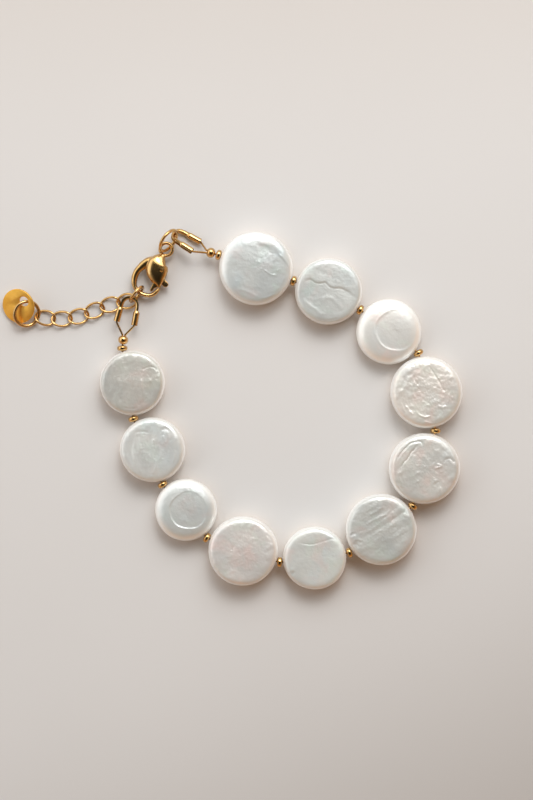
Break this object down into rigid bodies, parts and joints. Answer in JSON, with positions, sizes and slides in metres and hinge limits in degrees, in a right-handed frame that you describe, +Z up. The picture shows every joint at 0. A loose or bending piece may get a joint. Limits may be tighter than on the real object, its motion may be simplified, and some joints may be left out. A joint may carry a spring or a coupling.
{
  "type": "pearl bracelet",
  "caption": "Closed bracelet of coin-shaped pearls and small gold beads, with a lobster clasp, extension chain and plain round end tag, lying flat.",
  "frame": {"origin": "middle of the bracelet's outline, on the table that it lies on", "axes": "+Z up from the table; +X to the picture's right, from the end tag towards the far pearls; +Y to the picture's top, where the clasp is"},
  "size_m": [0.0806, 0.0632, 0.0047],
  "materials": {
    "nacre": "gloss",
    "gold": "polished",
    "satin_gold": "satin"
  },
  "bodies": {
    "bracelet": {"pearl_01": "nacre", "pearl_02": "nacre", "pearl_03": "nacre", "pearl_04": "nacre", "pearl_05": "nacre", "pearl_06": "nacre", "pearl_07": "nacre", "pearl_08": "nacre", "pearl_09": "nacre", "pearl_10": "nacre", "pearl_11": "nacre", "spacer_01": "gold", "spacer_02": "gold", "spacer_03": "gold", "spacer_04": "gold", "spacer_05": "gold", "spacer_06": "gold", "spacer_07": "gold", "spacer_08": "gold", "spacer_09": "gold", "spacer_10": "gold", "spacer_11": "gold", "spacer_12": "gold", "crimp_bead_1": "gold", "crimp_bead_2": "gold", "beading_wire": "gold", "wire_guard_1": "gold", "wire_guard_2": "gold", "eye_ring": "gold", "hook_ring": "gold", "clasp_body": "gold", "clasp_pin": "gold", "chain_link_1": "gold", "chain_link_2": "gold", "chain_link_3": "gold", "chain_link_4": "gold", "chain_link_5": "gold", "chain_link_6": "gold", "tag_ring": "gold", "end_tag": "satin_gold"},
    "clasp_lever": {"clasp_lever": "gold"}
  },
  "joints": [
    {"name": "lever_pivot", "type": "hinge", "parent": "bracelet", "child": "clasp_lever", "pos_m": [-0.01229, 0.02433, 0.00136], "axis": [0, 0, 1], "range_deg": [-16, 0], "stiffness_Nm_per_rad": 0.0005, "springref_deg": 5.73}
  ]
}
